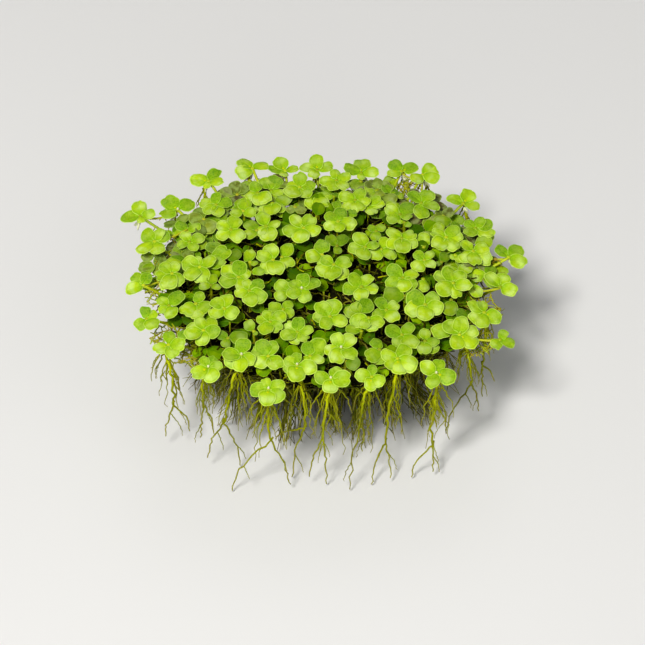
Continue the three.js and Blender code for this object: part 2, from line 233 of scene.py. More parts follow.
LEFT_PLANTS = (
    plant_at(
        (-30, -18.8), (85, 0.9), (212, 0.95), (293, 1), (348, 1.05),
        root=((-28.5, -20.5, 11), (-31.3, -21.5, 3.3), (-26.1, -21.5, 4.6)),
        side=((0.1, -2.2, 8), (0.05, -3.2, 8.5), (0.3, 2.6, 8), (0.6, 1, 9)),
    ),
    plant_at((-23.2, -15.8), (47, 1), (110, 0.9), (159, 1), (203, 1.15), (265, 1.05), (343, 1)),
    plant_at((-34.5, -11.4), (33, 0.7), (97, 0.75), (230, 0.85), (308, 1)),
    plant_at((-30.2, -8.4), (51, 1.15), (144, 0.8), (219, 0.7), (285, 1)),
    plant_at((-35.4, -1.9), (69, 0.85), (128, 0.95), (195, 1.05)),
    plant_at((-29.8, 0.7), (75, 0.8), (135, 0.9), (190, 0.95), (257, 1.25), (304, 1.05)),
    plant_at((-33.6, 11.1), (28, 1), (62, 0.95), (130, 1.1), (220, 1.25), (286, 1.1)),
    plant_at((-26.6, 9.9), (22, 0.95), (117, 0.8), (203, 0.75), (302, 0.8)),
)

MIDDLE_PLANTS = (
    plant_at((-21.5, 21.7), (13, 0.95), (90, 0.85), (160, 1.05), (227, 0.95), (282, 0.95)),
    plant_at((-13.2, 25.2), (105, 0.85), (214, 0.8), (279, 1.05), (306, 1.15)),
    plant_at((-4.6, 26.8), (9, 0.95), (89, 1.05), (162, 0.8), (230, 1.25), (303, 1)),
    plant_at((2.8, 29.4), (26, 0.9), (95, 0.8), (191, 1), (249, 0.95), (314, 0.9)),
    plant_at((19.9, 22.2), (57, 1.15), (136, 1), (270, 1.25), (337, 1.15)),
    plant_at((6.6, 22.3), (60, 0.95), (160, 1), (229, 1), (278, 1.1), (351, 0.9)),
    plant_at((24.7, 11.2), (6, 1), (47, 1), (156, 0.95), (236, 1.25), (305, 1.1)),
    plant_at((3.6, -21.3), (45, 1.1), (114, 0.9), (202, 1), (249, 1.15), (323, 1.05), bud=True),
    plant_at((-18.3, 13), (71, 1), (155, 0.9), (219, 1), (305, 1.2)),
    plant_at((-3.8, 12.7), (61, 1.1), (128, 1.1), (194, 1.25), (257, 1.2), (343, 1)),
    plant_at((3.1, 14.8), (77, 1.05), (143, 0.9), (216, 0.9), (279, 0.9), (351, 1.1)),
    plant_at((15.8, 10), (27, 0.9), (151, 1), (225, 1.1), (272, 1.25), (319, 1.1)),
    plant_at((-9.8, 3), (101, 1.1), (161, 1), (232, 1), (281, 1.25)),
    plant_at((-24.3, 1.9), (35, 1.05), (118, 0.8), (159, 1.1), (230, 1.15), (281, 1.2)),
    plant_at((2.2, 1.3), (17, 1.05), (152, 0.85), (215, 1.15), (264, 1.25), (309, 1.15)),
    plant_at((8.5, 6.8), (16, 0.8), (118, 1.05), (197, 1.05), (258, 1.1)),
    plant_at((20.2, 3.6), (52, 0.8), (142, 0.75), (232, 1), (315, 0.8)),
    plant_at((15.8, -2), (22, 0.95), (141, 1.1), (214, 1.15), (276, 1.05), (311, 1.05)),
    plant_at((25.8, -2.6), (51, 1), (112, 1.1), (155, 1.2), (223, 1.25), (283, 1), (338, 1.1)),
    plant_at((-14.4, -5.8), (36, 1), (102, 0.75), (198, 0.85), (279, 1.15), (321, 1.2)),
    plant_at((-4.1, -5.6), (31, 1.15), (84, 0.95), (145, 0.85), (217, 1), (287, 1), bud=True),
    plant_at((7.7, -5), (55, 0.95), (131, 1), (192, 1.1), (267, 1.1), (346, 1)),
    plant_at((-19.2, -10.4), (80, 0.95), (140, 0.95), (212, 0.95), (321, 0.95)),
    plant_at((1.5, -13.3), (76, 1.15), (132, 1.1), (192, 1), (245, 0.95), (334, 1.05)),
    plant_at((9, -13.5), (198, 1.1), (243, 0.95), (283, 0.95), (326, 1)),
    plant_at((-10.2, -14.5), (33, 1), (110, 0.75), (170, 0.8), (246, 1.1), (314, 0.85)),
)

PLANTS = {
    "back": BACK_PLANTS,
    "right": RIGHT_PLANTS,
    "front": FRONT_PLANTS,
    "left": LEFT_PLANTS,
    "middle": MIDDLE_PLANTS,
}

# The other plants of the crowded middle, a little lower than their neighbours. Their shade is painted
# shade, how much darker one is painted, and age is how old one is.
MORE_PLANTS = (
    plant_at((-23.9, 18.2), (120, 1.05), (175, 0.9), (289, 0.8), (295, 1.25), age=0.6),
    plant_at((-27.2, 14.6), (25, 0.85), (131, 0.9), (181, 0.8)),
    plant_at((-10.4, 27.1), (75, 1.25), (116, 1.1), (273, 1), (330, 0.8)),
    plant_at((-10.2, 22.6), (230, 0.9), (269, 1.25), (311, 1)),
    plant_at((-11.3, 14.7), (15, 0.85), (110, 1.05), (238, 0.95), (282, 1.25)),
    plant_at((9.3, 21.8), (4, 0.95), (39, 0.85), (286, 0.9)),
    plant_at((15.6, 18.9), (50, 1.15), (154, 1), (219, 0.9), (336, 0.75), shade=0.1),
    plant_at((11.1, 27.4), (27, 1), (91, 0.85), (134, 0.9), (290, 0.95), age=0.7),
    plant_at((24.3, 19.3), (42, 0.8), (137, 0.55), (217, 0.85), age=0.8),
    plant_at((-17.3, 26.2), (50, 0.9), (103, 0.95), (166, 1.1), age=0.8),
    plant_at((-16, 20.2), (82, 1), (204, 0.8), (338, 0.8)),
    plant_at((-1.3, 25), (252, 1.15), (295, 1.25), (356, 0.8)),
    plant_at((-5.5, 21), (221, 0.6), (317, 0.8), age=0.6, shade=0.2),
    plant_at((-13.2, 13.4), (125, 1), (220, 0.9), shade=0.25),
    plant_at((-8.1, 4.7), (58, 1), (303, 1), shade=0.1),
    plant_at((-0.1, 5.3), (91, 1.1), (205, 1.05), (274, 0.9)),
    plant_at((2.9, 8), (57, 0.95), (137, 0.85), (275, 0.6), shade=0.5),
    plant_at((11.7, 7.3), (68, 0.85), (236, 1.05), (323, 1)),
    plant_at((-16.6, -0.8), (27, 0.75), (85, 1.05), (146, 1.15), (204, 1.2), (286, 0.95)),
    plant_at((-14.1, 0.5), (3, 0.8), shade=0.05),
    plant_at((-14.4, 3.5), (96, 0.9), (336, 0.5), shade=0.2),
    plant_at((-22, -2.6), (82, 0.75), (194, 0.7), (335, 0.6), shade=0.35),
    plant_at((-24.9, -7.6), (65, 0.8), (226, 1.1), (278, 1.1), (326, 1.05), shade=0.05),
    plant_at((20.2, -8.3), (47, 1), (151, 1.2), (208, 1.25), (265, 1.2), (341, 1.1)),
    plant_at((12.5, -10.3), (32, 0.8), (128, 0.85), (216, 0.9), (303, 1.05), shade=0.1),
    plant_at((7.5, -11.6), (63, 1.05), (127, 0.8), (165, 1), shade=0.25),
    plant_at((-7.7, -10.3), (45, 0.7), (175, 0.85), (318, 0.75), shade=0.1),
    plant_at((-6.7, -5.6), (136, 0.95), (212, 0.9), shade=0.1),
    plant_at((-4.9, -16.4), (5, 0.9), (84, 0.9), (143, 0.9), (208, 1.05), (252, 0.85), (313, 0.85)),
    plant_at((-10.5, -22.4), (70, 1), (117, 1.15), (154, 1.05), (231, 1), (307, 1.1)),
    plant_at((-2.4, -22.6), (55, 1.25), (105, 0.9), (233, 0.65), (329, 0.85)),
    plant_at((15.5, -16.7), (49, 0.9), (161, 1), (245, 0.9), (310, 1.25), shade=0.15),
    plant_at((20, -18), (91, 0.8), (261, 1.05), (314, 0.95), (353, 0.8), shade=0.2),
    plant_at((11.1, -20.7), (113, 0.8), (230, 1.1), (264, 0.95), shade=0.15),
    plant_at((10.7, 13), (44, 0.7), (147, 0.55), (269, 0.75), shade=0.2),
    plant_at((16.4, 16.3), (173, 0.4), (323, 0.5), shade=0.15),
    plant_at((23.6, 4.3), (65, 0.8), (215, 0.45), shade=0.55),
    plant_at((26.4, 6.8), (227, 0.4), (300, 0.65)),
    plant_at((16.2, -6.2), (12, 0.5), (181, 1.25), shade=0.4),
    plant_at((-18.4, -17.4), (4, 1.1), (154, 0.7), (250, 0.65), shade=0.45),
    plant_at((-13.4, -15.9), (124, 0.8), (302, 0.35), shade=0.3),
    plant_at((25.3, -14.1), (204, 1.25)),
    plant_at((20.2, 8.6), (89, 1), shade=0.05),
    plant_at((19.9, -1.1), (270, 0.9), shade=0.05),
    plant_at((29.2, -1.8), (306, 0.95)),
    plant_at((25.3, -6.5), (264, 1.15), shade=0.5),
    plant_at((28.5, -11.1), (143, 0.75), shade=0.6),
    plant_at((4.4, -23.7), (335, 0.9), shade=0.6),
    plant_at((7.6, -16.1), (167, 0.9), shade=0.3),
    plant_at((3.1, 19.8), (99, 0.65)),
    plant_at((5.9, 17.2), (87, 0.65), shade=0.05),
    plant_at((2.3, 24.6), (182, 0.7)),
    plant_at((-22.9, 2.3), (39, 1.25)),
    plant_at((-21.6, 4.1), (50, 1.25)),
    plant_at((-19.7, 8.1), (173, 1.05), age=0.4, shade=0.1),
    plant_at((-18, 3.5), (76, 1), shade=0.7),
    plant_at((-25.9, -15.9), (175, 0.7)),
    plant_at((10.9, 27.2), (160, 0.7), (222, 1.05), age=0.2),
    plant_at((7.8, 30.4), (205, 0.8), (262, 0.9), age=0.3, shade=0.2),
    plant_at((-14.8, 31), (228, 0.8), (290, 0.8), age=0.3),
)
MORE_PLANTS_DROP = 0.9
MORE_PLANTS_FIRST = 100

# Lower leaves: how many, how far out they reach and how far below the crowns they are, their sizes,
# the painted shade that darkens them and the darker tint of their painted shade
LOWER_LEAVES = 150
LOWER_REACH = 0.83
LOWER_DROP = (1.7, 4)
LOWER_SIZE = (0.75, 1.05)
LOWER_PAINTED_SHADES = (0.25, 0.5, 0.7, 0.88)
PAINTED_SHADE_TINT = (0.66, 0.78, 0.03, 1)

# Leaves between the plants at the back and those of the middle, where nothing else fills the gap
BACK_LEAVES = 78
BACK_TURNS = (4, 178)
BACK_SHARE = (0.72, 0.95)
BACK_DROP = (0.9, 3.2)
BACK_SIZE = (0.75, 1.1)
BACK_AGES = (0, 0, 0, 0.5, 0.9)

# The lower leaves and the leaves at the back: the turn from one to the next, and the radius of their stalks
NEXT_LEAF_TURN = 2.1
LOOSE_STALK_RADIUS = 0.22

# Old runners and fine roots, matted in the gaps just under the leaves: how many, how far out they reach and
# how much further at the back, how far below the crowns they are, and the painted shade that darkens most
# of them
MATTED_STRANDS = 760
MATTED_REACH = 0.86
MATTED_FURTHER_BACK = 0.08
MATTED_DROP = (2.4, 4.6)
MATTED_HALF_LENGTH = (1.2, 2.8)
MATTED_RADIUS = (0.08, 0.2)
MATTED_PAINTED_SHADES = (0.1, 0.7, 0.9, 0.97)

# Runners that join two plants, each with a knot: the places of their crowns
RUNNER_RADIUS = 0.22
KNOT_RADII = (0.42, 0.36, 0.34)
KNOT_ROOTS = 4
RUNNERS = (
    ((-36.7, 19), (-29.2, 21.1)),
    ((-33.6, 11.1), (-27.2, 14.6)),
    ((-35.4, -1.9), (-29.8, 0.7)),
    ((-34.5, -11.4), (-30.2, -8.4)),
    ((37.1, 6.8), (30, 7.5)),
    ((35.1, -2.4), (25.8, -2.6)),
    ((34.6, -17.2), (26.7, -16.6)),
    ((16.1, 32.9), (20.4, 31.9)),
    ((20.4, 31.9), (19.9, 22.2)),
)

# Nets of thin runners and roots in the gaps at the sides: the middle of each, and how far it reaches
NETS = (
    ((-32, 4.5, 24), 3.4),
    ((-31.6, -2.4, 24), 3.6),
    ((-30.2, -13.6, 23.8), 3.6),
    ((-26.4, -18.6, 23.4), 3),
    ((32.4, 5.6, 24), 3.6),
    ((31.6, -5.8, 23.8), 3.6),
    ((30, -15.4, 23.4), 3.4),
    ((17.6, 29.6, 24.2), 2.6),
    ((8.2, 29.8, 23.4), 2.6),
    ((-13.6, 30.4, 23.8), 2.2),
)
NET_STRANDS = 17
NET_RADIUS = (0.08, 0.16)


# Steady numbers and places, by the rules of the part
def chance(a, b):
    """A steady number from 0 to 1 for each pair of whole numbers."""
    wave = math.sin(a * 12.9898 + b * 78.233) * 43758.5453
    return wave - math.floor(wave)


def between(low, high, share):
    return low + (high - low) * share


def rim_share(x, y):
    """How far out a place on the plan is: 0 at the middle of the mat and 1 at its rim."""
    return math.hypot(x / MAT_HALF_WIDTH, y / MAT_HALF_DEPTH)


def crown_height(x, y):
    return RIM_CROWN_HEIGHT + DOME_RISE * max(0, 1 - rim_share(x, y) ** 2)


def under_crowns(x, y, drop=0):
    """A place at the level of the crowns, or lower by drop."""
    return np.array([x, y, crown_height(x, y) - drop])


def on_plan(share, turn, height=0):
    """A place at a share of the mat's half width, a turn round its middle and a height."""
    x = share * MAT_HALF_WIDTH * math.cos(turn)
    y = share * MAT_HALF_DEPTH * math.sin(turn)
    return np.array([x, y, height])


def strewn(k, count, reach):
    """The share and the turn of the kth of many places spread evenly over the mat."""
    return reach * math.sqrt((k + 0.5) / count), k * GOLDEN_TURN


def pointing(heading, rise=0):
    """A step of length 1 on the plan in a direction, which may rise."""
    return np.array([math.cos(heading), math.sin(heading), rise])


def mass_top(share):
    return between(MASS_TOP, SHOULDER_HEIGHT, min(1, share / SHOULDER_SHARE))


def lean_of(at):
    """A rosette leans outwards with the dome of the mat, and all of them face a little to the front."""
    x, y = at
    outwards = Matrix.Rotation(math.radians(RIM_LEAN * rim_share(x, y)), 3, Vector((-y, x, 0)).normalized())
    return np.array(Matrix.Rotation(math.radians(FRONT_LEAN), 3, "X") @ outwards)


def leaves_of(plant, seed):
    """(turn, size, rise) of each leaf, with every second one raised more."""
    found = []
    for k, (heading, size) in enumerate(plant["leaves"]):
        rise = (NEXT_LEAF_RISE if k % 2 else LEAF_RISE) + between(-4, 4, chance(seed, k))
        found.append((math.radians(heading), size, math.radians(rise)))
    return found


# Meshes
def add_object(name, data):
    made = bpy.data.objects.new(name, data)
    bpy.context.scene.collection.objects.link(made)
    return made


class Surface:
    """Collects the closed shells of one piece, with two sets of three values at each point.

    shape is how far along a leaf or root the point is, how near its edge, and how far aside.
    mood is the tone, the age and the painted shade of the whole leaf, stem or root. On a rosette's leaves
    the tone is partly painted light.
    """

    def __init__(self):
        self.points = []
        self.faces = []
        self.looks = []
        self.shapes = []
        self.moods = []
        self.count = 0

    def add(self, points, faces, look, shape, mood):
        self.points.append(points)
        self.shapes.append(shape)
        self.moods.append(np.tile(mood, (len(points), 1)))
        for block in faces:
            self.faces += (block + self.count).tolist()
            self.looks += [look] * len(block)
        self.count += len(points)

    def piece(self, name, looks):
        mesh = bpy.data.meshes.new(name)
        mesh.from_pydata((np.concatenate(self.points) * MM).tolist(), [], self.faces)
        for label, values in (("shape", self.shapes), ("mood", self.moods)):
            attribute = mesh.attributes.new(label, "FLOAT_VECTOR", "POINT")
            attribute.data.foreach_set("vector", np.concatenate(values).astype(np.float32).ravel())
        for look in looks:
            mesh.materials.append(look)
        mesh.polygons.foreach_set("material_index", self.looks)
        mesh.shade_smooth()
        return add_object(name, mesh)


# The places of the looks in a plant's piece and in the root tangle
LEAF, STEM, ROOT, BUD = range(4)
TANGLE_ROOT, TANGLE_CORE = range(2)


def full_circle(count):
    """Turns spread evenly round a circle."""
    return 2 * math.pi * np.arange(count) / count


def rings_of_faces(rings, around):
    """Quads between rings of points, each ring one after the other."""
    start = np.arange(rings - 1)[:, None] * around
    here = np.arange(around)[None, :]
    after = (here + 1) % around
    quads = [start + here, start + after, start + around + after, start + around + here]
    return np.stack(quads, axis=-1).reshape(-1, 4)


def fan(pole, first, around, outwards):
    """Triangles from a pole to a ring."""
    here = first + np.arange(around)
    after = first + (np.arange(around) + 1) % around
    pair = (here, after) if outwards else (after, here)
    return np.stack([np.full(around, pole), *pair], axis=-1)


def shell_faces(rings, around, from_top=False):
    """The faces of a closed shell, whose points are its rings and then the poles at its two ends."""
    sides = rings_of_faces(rings, around)
    pole = rings * around
    return [
        sides[:, ::-1] if from_top else sides,
        fan(pole, 0, around, from_top),
        fan(pole + 1, pole - around, around, not from_top),
    ]


def smooth(points, count):
    """Points on a smooth curve through the given ones."""
    points = np.asarray(points, float)
    padded = np.vstack([2 * points[0] - points[1], points, 2 * points[-1] - points[-2]])
    place = np.linspace(0, len(points) - 1, count)
    k = np.minimum(place.astype(int), len(points) - 2)
    u = (place - k)[:, None]
    a, b, c, d = (padded[k + i] for i in range(4))
    cubic = (3 * b - a - 3 * c + d) * u**3
    return 0.5 * (2 * b + (c - a) * u + (2 * a - 5 * b + 4 * c - d) * u**2 + cubic)


def strand(surface, points, radii, sides, look, mood, along_root=(0, 1)):
    """A round strand along points, closed at both ends. along_root is where its ends are on its root."""
    steps = len(points)
    along = np.gradient(points, axis=0)
    along /= np.linalg.norm(along, axis=1)[:, None]
    guide = np.eye(3)[np.argmin(np.abs(along).mean(axis=0))]
    first = np.cross(along, guide)
    first /= np.linalg.norm(first, axis=1)[:, None]
    second = np.cross(along, first)
    turns = full_circle(sides)
    ring = np.cos(turns)[None, :, None] * first[:, None] + np.sin(turns)[None, :, None] * second[:, None]
    skin = (points[:, None] + np.asarray(radii)[:, None, None] * ring).reshape(-1, 3)
    ends = np.array([points[0] - along[0] * radii[0] * 0.5, points[-1] + along[-1] * radii[-1]])
    skin = np.vstack([skin, ends])
    pole = steps * sides
    shape = np.zeros((len(skin), 3))
    shape[:pole, 0] = np.repeat(np.linspace(*along_root, steps), sides)
    shape[pole:, 0] = along_root
    surface.add(skin, shell_faces(steps, sides), look, shape, mood)


def ball(surface, centre, radii, look, mood, rings=5, around=10):
    """A low round body."""
    falls = math.pi * np.arange(1, rings + 1) / (rings + 1)
    turns = full_circle(around)
    spots = np.empty((rings, around, 3))
    spots[..., 0] = np.sin(falls)[:, None] * np.cos(turns)
    spots[..., 1] = np.sin(falls)[:, None] * np.sin(turns)
    spots[..., 2] = np.cos(falls)[:, None]
    spots = np.vstack([spots.reshape(-1, 3), [0, 0, 1], [0, 0, -1]])
    faces = shell_faces(rings, around, from_top=True)
    surface.add(centre + spots * radii, faces, look, np.zeros((len(spots), 3)), mood)


# A leaf
def leaf_outline(size, random):
    """The edge of a leaf as (along, aside): a wide, slightly angular oval with a narrow base.

    A few have a notch or a point near the tip.
    """
    turns = full_circle(OUTLINE_POINTS)
    around = (turns + math.pi) % (2 * math.pi) - math.pi
    half = BLADE_LENGTH / 2 * size
    middle = LEAF_LENGTH * size - half
    wide = LEAF_WIDTH / 2 * size * random.uniform(0.93, 1.07)
    wave = np.ones(OUTLINE_POINTS)
    for waves, most in ((2, 0.05), (3, 0.06), (5, 0.045), (8, 0.02)):
        wave += random.uniform(0.1, 1) * most * np.sin(waves * turns + random.uniform(*ANY_TURN))
    dent = random.choice((0, 0.07, -0.18), p=(0.62, 0.2, 0.18))
    wave += dent * np.exp(-(((around - random.uniform(-0.5, 0.5)) / 0.2) ** 2))
    neck = (middle - half) * np.exp(-(((math.pi - np.abs(around)) / 0.24) ** 2))
    egg = 1 + random.uniform(-0.02, 0.1) * np.cos(turns)
    power = random.uniform(*FULLNESS)
    full = (np.abs(np.cos(turns)) ** power + np.abs(np.sin(turns)) ** power) ** (-1 / power)
    along = middle + half * np.cos(turns) * wave * full - neck
    aside = wide * np.sin(turns) * wave * egg * full
    return along, aside, middle


def leaf(surface, crown, lean, turn, size, rise, mood, random):
    """A fleshy leaf that rises from the crown: rings of points from its middle to its edge, on both sides."""
    along, aside, middle = leaf_outline(size, random)
    reach = np.array([*TOP_RINGS, 1.0, *UNDER_RINGS])
    length = middle + reach[:, None] * (along - middle)[None, :]
    width = reach[:, None] * aside[None, :]
    length = np.append(length.ravel(), [middle, middle])
    width = np.append(width.ravel(), [0, 0])
    edge = np.append(np.repeat(reach, OUTLINE_POINTS), [0, 0])
    long = length / (LEAF_LENGTH * size)
    wide = width / (LEAF_WIDTH / 2 * size)
    cup = random.uniform(-0.2, 0.14)
    droop = random.uniform(-0.04, 0.22)
    wave = random.uniform(0.01, 0.08)
    phase = random.uniform(*ANY_TURN)
    height = LEAF_WIDTH / 2 * size * cup * wide**2
    height -= LEAF_LENGTH * size * droop * np.clip(long - 0.25, 0, None) ** 2
    height += size * wave * 2 * edge**3 * np.sin(3 * np.arctan2(wide, long - 0.6) + phase)
    height += size * 0.05 * np.clip((edge - 0.8) / 0.2, 0, 1) ** 2
    for waves in (4, 7):
        slant, offset = random.uniform(*ANY_TURN, 2)
        height += size * 0.028 * np.sin(waves * (long * math.cos(slant) + wide * math.sin(slant)) + offset)
    height -= size * 0.12 * np.exp(-((wide / 0.18) ** 2)) * np.clip(1 - long * 1.1, 0, 1)
    side = np.ones(len(edge))
    side[-1] = -1
    side[len(TOP_RINGS) * OUTLINE_POINTS : -2] = -1
    thick = LEAF_THICKNESS * between(0.7, 1, np.clip(long * 2, 0, 1)) / 2
    height += side * thick * np.sqrt(np.clip(1 - edge**4, 0, 1))
    roll = random.uniform(-0.2, 0.2)
    ahead = np.array([math.cos(turn) * math.cos(rise), math.sin(turn) * math.cos(rise), math.sin(rise)])
    across = np.array([-math.sin(turn), math.cos(turn), 0])
    up = np.cross(ahead, across)
    across, up = math.cos(roll) * across + math.sin(roll) * up, math.cos(roll) * up - math.sin(roll) * across
    spots = length[:, None] * ahead + width[:, None] * across + height[:, None] * up
    faces = shell_faces(len(reach), OUTLINE_POINTS, from_top=True)
    shape = np.stack([long, edge, wide], axis=-1)
    surface.add(crown + spots @ lean.T, faces, LEAF, shape, mood)


# Roots
def tapered(count, thick, thin):
    return thin + (thick - thin) * (1 - np.linspace(0, 1, count)) ** 0.8


def wander(points, amount, random):
    """Points moved aside in kinks, by a share of the distance between them, and further off at the end."""
    step = np.linalg.norm(points[-1] - points[0]) / (len(points) - 1)
    kinks = random.normal(0, amount * step, (len(points), 3)) * [1, 1, 0.3]
    kinks[0] = 0
    drift = np.cumsum(kinks, axis=0) * np.linspace(0, 0.7, len(points))[:, None]
    moved = points + kinks + drift
    moved[:, 2] = np.maximum(moved[:, 2], GROUND_CLEARANCE)
    return moved


def side_root(surface, parent, share, aside, drop, thick, mood, random):
    """A root that leaves another one at a share of its length, goes aside and then hangs down."""
    start = parent[int(share * (len(parent) - 1))]
    heading = random.uniform(-0.5, 0.5)
    out = np.array([aside, abs(aside) * heading - 0.4, 0])
    low = np.array([0, 0, -drop])
    bends = ((0, 0), (0.45, 0.28), (0.85, 0.62), (1, 1))
    points = smooth([start + across * out + down * low for across, down in bends], 12)
    points = wander(points, 0.13, random)
    strand(surface, points, tapered(12, thick, FINE_TIP), 5, ROOT, mood, (between(0.15, 0.5, share), 1))
    return points


def twigs(surface, parent, count, thick, mood, random):
    """Short fine roots that leave a root at a sharp angle."""
    for _ in range(count):
        share = random.uniform(0.15, 0.7)
        above_ground = parent[int(share * (len(parent) - 1))][2]
        drop = min(random.uniform(2, 6), 0.8 * above_ground)
        aside = random.choice((-1, 1)) * random.uniform(0.15, 0.4) * drop
        side_root(surface, parent, share, aside, drop, thick, mood, random)


def plain_root(start, drop, seed):
    """The fork and the two ends of a root that hangs straight down, spread along the rim."""
    along = np.array([-start[1], start[0], 0]) / math.hypot(start[0], start[1])

    def hung(share, aside):
        return start + along * aside - np.array([0, 0, share * drop])

    return (
        hung(0.5, between(-0.8, 0.8, chance(seed, 21))),
        hung(1, between(-2.4, -1.2, chance(seed, 22))),
        hung(between(0.8, 0.95, chance(seed, 23)), between(1, 2.4, chance(seed, 24))),
    )


def hanging_root(surface, start, plant, seed, random):
    """A main root down to its fork, one from there to each end, and its side roots.

    Only the roots in front have fine ones.
    """
    places = plant.get("root") or plain_root(start, plant["drop"], seed)
    fine = FINE_ROOTS if "root" in plant else 0
    fork, *ends = (np.array(place, float) for place in places)
    bend = (start + fork) / 2
    bend[0] += between(-0.5, 0.5, chance(seed, 25))
    bend[1] += between(-0.5, 0.5, chance(seed, 26))
    mood = (random.uniform(0.4, 1), 0, 0)
    main = wander(smooth([start, bend, fork], 14), 0.12, random)
    strand(surface, main, tapered(14, ROOT_RADIUS, FORK_RADIUS), 7, ROOT, mood, (0, 0.5))
    for end in ends:
        middle = (fork + end) / 2 + [0.25 * (end[0] - fork[0]), 0, 0]
        limb = wander(smooth([main[-3], main[-1], middle, end], 18)[4:], 0.13, random)
        strand(surface, limb, tapered(len(limb), FORK_RADIUS, TIP_RADIUS), 6, ROOT, mood, (0.5, 1))
        twigs(surface, limb, fine // 2, LIMB_TWIG_RADIUS, mood, random)
    for share, aside, drop in plant.get("side", SIDE_ROOTS):
        side = side_root(surface, main, share, aside, drop, SIDE_ROOT_RADIUS, mood, random)
        twigs(surface, side, 1, TWIG_RADIUS, mood, random)
    lowest = min(end[2] for end in ends)
    for _ in range(FRINGE_ROOTS if fine else 1):
        drop = random.uniform(0.3, 0.75) * (start[2] - lowest)
        aside = random.uniform(-0.22, 0.22) * drop
        side = side_root(surface, main, random.uniform(0, 0.3), aside, drop, FRINGE_RADIUS, mood, random)
        twigs(surface, side, 1, FRINGE_TWIG_RADIUS, mood, random)
    twigs(surface, main, fine, TWIG_RADIUS, mood, random)


# Plants
def leaf_base(leaves, x, y):
    """The place in the base of the leaf that points most nearly in a direction on the plan."""
    turn, _, rise = max(leaves, key=lambda leaf: math.cos(leaf[0]) * x + math.sin(leaf[0]) * y)
    return BESIDE_CROWN * pointing(turn, math.tan(rise))


def carrier(surface, crown, mood, random, radius=STEM_RADIUS):
    """The stem or runner from a crown into the top of the root mass."""
    share = rim_share(crown[0], crown[1])
    inwards = min(1, SHOULDER_SHARE / share)
    height = mass_top(share * inwards) - STEM_FOOT_DEPTH - CORE_DEPTH * inwards
    foot = np.array([crown[0] * inwards, crown[1] * inwards, height])
    middle = (crown + foot) / 2 + [random.uniform(-0.3, 0.3), random.uniform(-0.3, 0.3), -0.5]
    points = smooth([crown - [0, 0, 0.1], middle, foot], 9)
    strand(surface, points, np.linspace(radius, 0.6 * radius, 9), 7, STEM, mood)
    return points


def stalk_roots(surface, stalk, mood, random):
    """Short roots that splay from a stalk under its leaves."""
    for _ in range(STALK_ROOTS):
        start = stalk[random.integers(2, 7)]
        heading = random.uniform(*ANY_TURN)
        out = random.uniform(*STALK_ROOT_REACH) * pointing(heading)
        drop = np.array([0, 0, random.uniform(0.4, 1.6)])
        line = wander(smooth([start, start + 0.6 * out - 0.3 * drop, start + out - drop], 7), 0.2, random)
        strand(surface, line, tapered(7, STALK_ROOT_RADIUS, FINE_TIP), 5, ROOT, mood)


def young_tips(surface, crown, mood, random):
    """Pale shoots under a plant at the rim, which point away from the middle and down."""
    outwards = math.copysign(1, crown[0])
    for _ in range(YOUNG_TIPS):
        start = crown - [0, 0, random.uniform(0.8, 1.8)]
        reach = np.array([outwards * random.uniform(0.3, 1.6), random.uniform(-0.9, 0.3), 0])
        end = start + reach - [0, 0, random.uniform(0.4, 1.3)]
        points = smooth([start, start + 0.5 * reach, end], len(YOUNG_TIP_RADII))
        strand(surface, points, YOUNG_TIP_RADII, 7, BUD, mood)


def rosette(surface, plant, seed, crown, random):
    """The leaves and the crown of a plant. Its leaves towards the viewer are the palest, by painted light."""
    lean = lean_of(plant["at"])
    leaves = leaves_of(plant, seed)
    for turn, size, rise in leaves:
        # The tone is partly random and partly painted light: leaves towards the viewer get a paler tone.
        tone = 0.6 * random.uniform(0, 1) + 0.2 * (1 - math.sin(turn))
        mood = (tone, plant.get("age", 0) * random.uniform(0.6, 1), plant.get("shade", 0))
        leaf(surface, crown, lean, turn, size, rise, mood, random)
    mood = (random.uniform(0, 1), 0.4 * plant.get("age", 0), plant.get("shade", 0))
    ball(surface, crown, CROWN_RADII, STEM, mood)
    stalk = carrier(surface, crown, mood, random)
    stalk_roots(surface, stalk, mood, random)
    if plant.get("bud"):
        ball(surface, crown + [0, -0.15, 0.35], BUD_RADII, BUD, mood)
    return leaves, lean


def plant_piece(side, k, plant, seed, looks):
    """One plant of the frame, with its own root or its young shoots where it has them."""
    random = np.random.default_rng(seed)
    x, y = plant["at"]
    crown = under_crowns(x, y)
    surface = Surface()
    leaves, lean = rosette(surface, plant, seed, crown, random)
    if rim_share(x, y) > RIM_OF_TIPS and y > 0:
        young_tips(surface, crown, (0.5, 0, 0), random)
    if "root" in plant or "drop" in plant:
        start = crown + lean @ leaf_base(leaves, x, y)
        hanging_root(surface, start, plant, seed, random)
    made = surface.piece(f"{side}_rosette_{k}", looks)
    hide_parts(f"{side}_plant_{k}")
    return made


def more_plants(looks):
    """The plants and single leaves between those of the frame."""
    random = np.random.default_rng(MORE_PLANTS_SEED)
    surface = Surface()
    for k, plant in enumerate(MORE_PLANTS):
        crown = under_crowns(*plant["at"], MORE_PLANTS_DROP)
        rosette(surface, plant, MORE_PLANTS_FIRST + k, crown, random)
    made = surface.piece("more_plants", looks)
    return made


